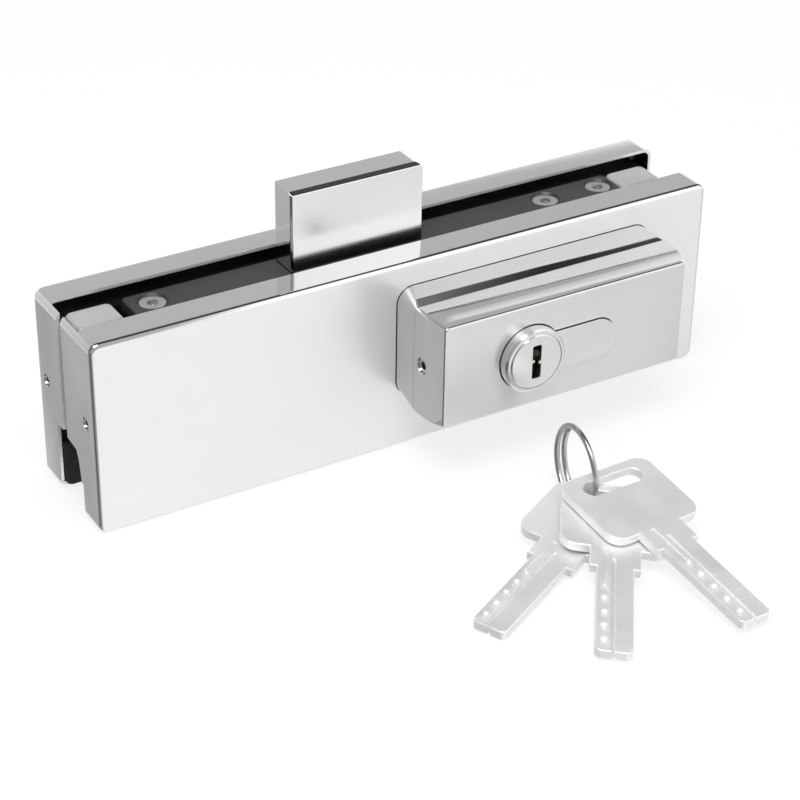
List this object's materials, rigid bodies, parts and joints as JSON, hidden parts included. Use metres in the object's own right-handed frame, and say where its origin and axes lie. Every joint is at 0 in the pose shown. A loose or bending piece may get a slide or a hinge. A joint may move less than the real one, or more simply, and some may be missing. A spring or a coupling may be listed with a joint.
{
  "type": "glass door patch lock",
  "caption": "Patch lock for a frameless glass door: two clamped covers, a key-driven deadbolt and a raised cylinder housing, with keys on a ring.",
  "frame": {"origin": "middle of the mouth of the slot that takes the glass edge, halfway along the lock", "axes": "+X along the lock, -Y towards the keyed side, +Z the way the deadbolt leaves, away from the glass"},
  "size_m": [0.1712, 0.1377, 0.07],
  "materials": {
    "polished_cover": "polished stainless steel sheet",
    "housing_chrome": "polished chrome plate on a zinc casting",
    "clamp_casting": "dark coated casting",
    "block_casting": "plain light casting",
    "gasket_rubber": "black sheet",
    "case_black": "black coated casting",
    "lid_grey": "dark grey coated plate",
    "screw_steel": "bright zinc plated steel",
    "bolt_steel": "polished nickel plated steel",
    "cylinder_nickel": "satin nickel plated brass",
    "pin_brass": "turned brass",
    "spring_steel": "spring steel",
    "key_nickel": "nickel plated, lightly tumbled"
  },
  "bodies": {
    "lock_body": {"front_cover": "polished_cover", "back_cover": "polished_cover", "front_clamp_plate": "clamp_casting", "back_clamp_plate": "clamp_casting", "front_gasket": "gasket_rubber", "back_gasket": "gasket_rubber", "lock_case": "case_black", "case_back_plate": "case_black", "case_top_plate": "lid_grey", "case_top_screws": "screw_steel", "case_back_screws": "screw_steel", "bolt_brake_spring": "spring_steel", "clamp_bolts": "screw_steel", "left_end_block": "block_casting", "right_end_block": "block_casting", "cylinder_body": "cylinder_nickel", "driver_pins": "pin_brass", "pin_springs": "spring_steel", "chamber_caps": "pin_brass", "cylinder_fixing_screw": "screw_steel", "cylinder_housing": "housing_chrome", "housing_screws": "screw_steel", "housing_cap": "housing_chrome", "cap_set_screw": "screw_steel", "front_cover_screws": "screw_steel", "back_cover_screws": "screw_steel"},
    "bolt": {"deadbolt": "bolt_steel"},
    "plug": {"cylinder_plug": "cylinder_nickel", "key_pins": "pin_brass", "cylinder_cam": "screw_steel", "cam_clip": "spring_steel"},
    "ring": {"key_ring": "spring_steel"},
    "key_lower_body": {"key_lower": "key_nickel"},
    "key_middle_body": {"key_middle": "key_nickel"},
    "key_upper_body": {"key_upper": "key_nickel"}
  },
  "joints": [
    {"name": "bolt_slide", "type": "slide", "parent": "lock_body", "child": "bolt", "axis": [0, 0, 1], "range_m": [-0.019, 0]},
    {"name": "plug_turn", "type": "hinge", "parent": "lock_body", "child": "plug", "pos_m": [0.0189, 0, 0.03], "axis": [0, 1, 0], "range_deg": [-94, 0]},
    {"name": "key_ring_lift", "type": "slide", "parent": "lock_body", "child": "ring", "axis": [0, 0, 1], "range_m": [0, 0.03]},
    {"name": "key_lower_swing", "type": "hinge", "parent": "ring", "child": "key_lower_body", "pos_m": [0.01829, -0.06612, 0.00395], "axis": [-0.0047, -0.0753, 0.9971], "range_deg": [-8, 4]},
    {"name": "key_middle_swing", "type": "hinge", "parent": "ring", "child": "key_middle_body", "pos_m": [0.01796, -0.0682, 0.00737], "axis": [0.0258, -0.1315, 0.991], "range_deg": [-8, 8]},
    {"name": "key_upper_swing", "type": "hinge", "parent": "ring", "child": "key_upper_body", "pos_m": [0.01787, -0.06875, 0.00999], "axis": [0.026, -0.1318, 0.9909], "range_deg": [-8, 8]}
  ],
  "couplings": [
    {"joint": "plug_turn", "follows": "bolt_slide", "rad_per_m": 86.25}
  ]
}
